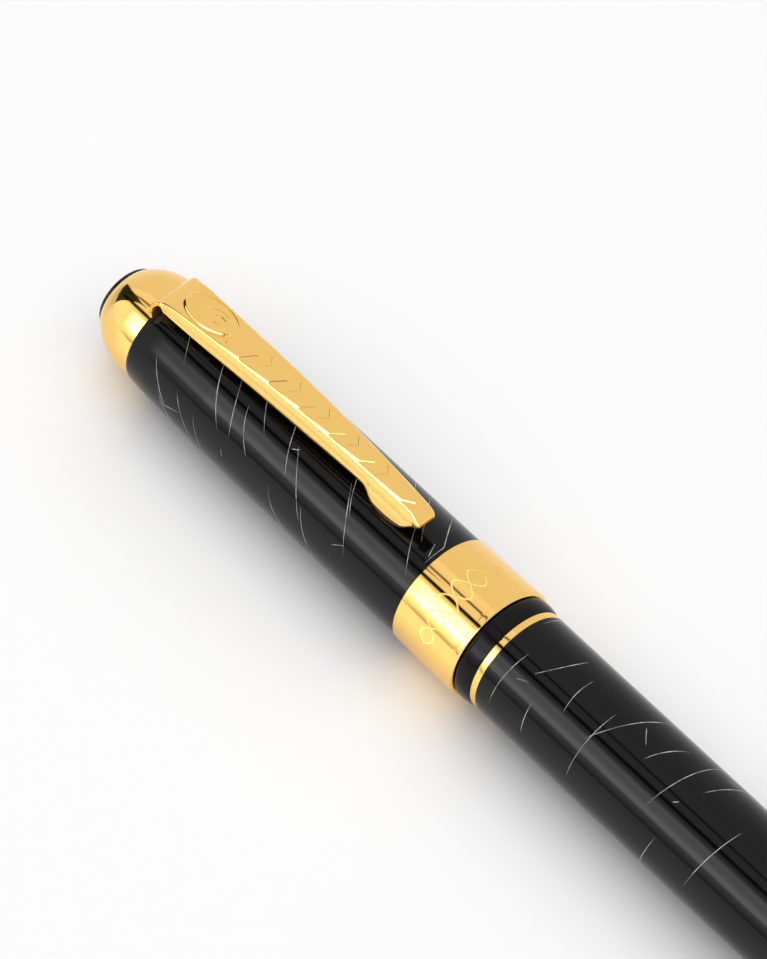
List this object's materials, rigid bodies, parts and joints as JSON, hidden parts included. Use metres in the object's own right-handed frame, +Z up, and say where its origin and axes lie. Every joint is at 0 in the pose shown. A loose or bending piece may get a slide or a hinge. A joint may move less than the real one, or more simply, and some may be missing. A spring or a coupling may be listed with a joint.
{
  "type": "rollerball pen",
  "caption": "Lacquered rollerball pen with a pull-off cap, folded-sheet gold clip, domed finial, gold cap band and a screw-on barrel over a spring-loaded refill.",
  "frame": {"origin": "on the pen's axis at the barrel's mouth, which is the rear face of the thin trim ring", "axes": "+X along the pen towards its tail, +Z up, with the clip on top"},
  "size_m": [0.1425, 0.0144, 0.0192],
  "materials": {
    "black_lacquer": "gloss black lacquer over brass, with fine silver hairlines",
    "gold_plate": "polished gold plate over brass",
    "brass": "turned, unplated",
    "black_resin": "polished",
    "black_plastic": "moulded",
    "black_jewel": "polished",
    "black_rubber": "moulded",
    "steel": "turned",
    "spring_steel": "drawn wire",
    "ball_steel": "polished",
    "nickel_silver": "turned nickel silver",
    "refill_plastic": "moulded",
    "ink_fibre": "ink-soaked fibre"
  },
  "bodies": {
    "section": {"grip_section": "black_resin", "nose_cone": "gold_plate", "section_insert": "brass", "section_ring": "gold_plate", "o_ring": "black_rubber"},
    "snap_ring": {"snap_ring": "spring_steel"},
    "cap": {"cap_tube": "black_lacquer", "cap_band": "gold_plate", "cap_sleeve": "brass", "inner_cap": "black_plastic", "clip_ring": "gold_plate", "finial_dome": "gold_plate", "finial_jewel": "black_jewel", "cap_stud": "steel", "stud_washer": "steel"},
    "clip": {"clip_blade": "gold_plate"},
    "barrel_spring": {"refill_spring": "spring_steel", "thrust_washer": "steel"},
    "barrel": {"barrel_tube": "black_lacquer", "barrel_bush": "brass", "tail_bush": "brass", "tail_ring": "gold_plate", "tail_dome": "gold_plate", "tail_jewel": "black_jewel", "tail_stud": "steel"},
    "refill": {"refill_tube": "refill_plastic", "refill_nose": "refill_plastic", "refill_tip": "nickel_silver", "feed_wick": "ink_fibre", "ink_reservoir": "ink_fibre", "refill_plug": "refill_plastic"},
    "tip_ball": {"tip_ball": "ball_steel"}
  },
  "joints": [
    {"name": "cap_turn", "type": "hinge", "parent": "section", "child": "snap_ring", "pos_m": [-0.0086, 0, 0], "axis": [1, 0, 0], "continuous": true},
    {"name": "cap_pull", "type": "slide", "parent": "snap_ring", "child": "cap", "axis": [-1, 0, 0], "range_m": [0, 0.055]},
    {"name": "clip_flex", "type": "hinge", "parent": "cap", "child": "clip", "pos_m": [-0.05897, 0, 0.0072], "axis": [0, -1, 0], "range_deg": [0, 3], "stiffness_Nm_per_rad": 4},
    {"name": "barrel_advance", "type": "slide", "parent": "section", "child": "barrel_spring", "axis": [1, 0, 0], "range_m": [0, 0.012]},
    {"name": "barrel_turn", "type": "hinge", "parent": "barrel_spring", "child": "barrel", "pos_m": [0, 0, 0], "axis": [1, 0, 0], "range_deg": [0, 3600]},
    {"name": "refill_float", "type": "slide", "parent": "section", "child": "refill", "axis": [1, 0, 0], "range_m": [0, 0.0008], "stiffness_N_per_m": 600, "deforming": ["refill_spring"]},
    {"name": "ball_roll", "type": "hinge", "parent": "refill", "child": "tip_ball", "pos_m": [-0.04965, 0, 0], "axis": [0, 1, 0], "continuous": true}
  ],
  "couplings": [
    {"joint": "barrel_advance", "follows": "barrel_turn", "m_per_rad": 0.00015915}
  ]
}
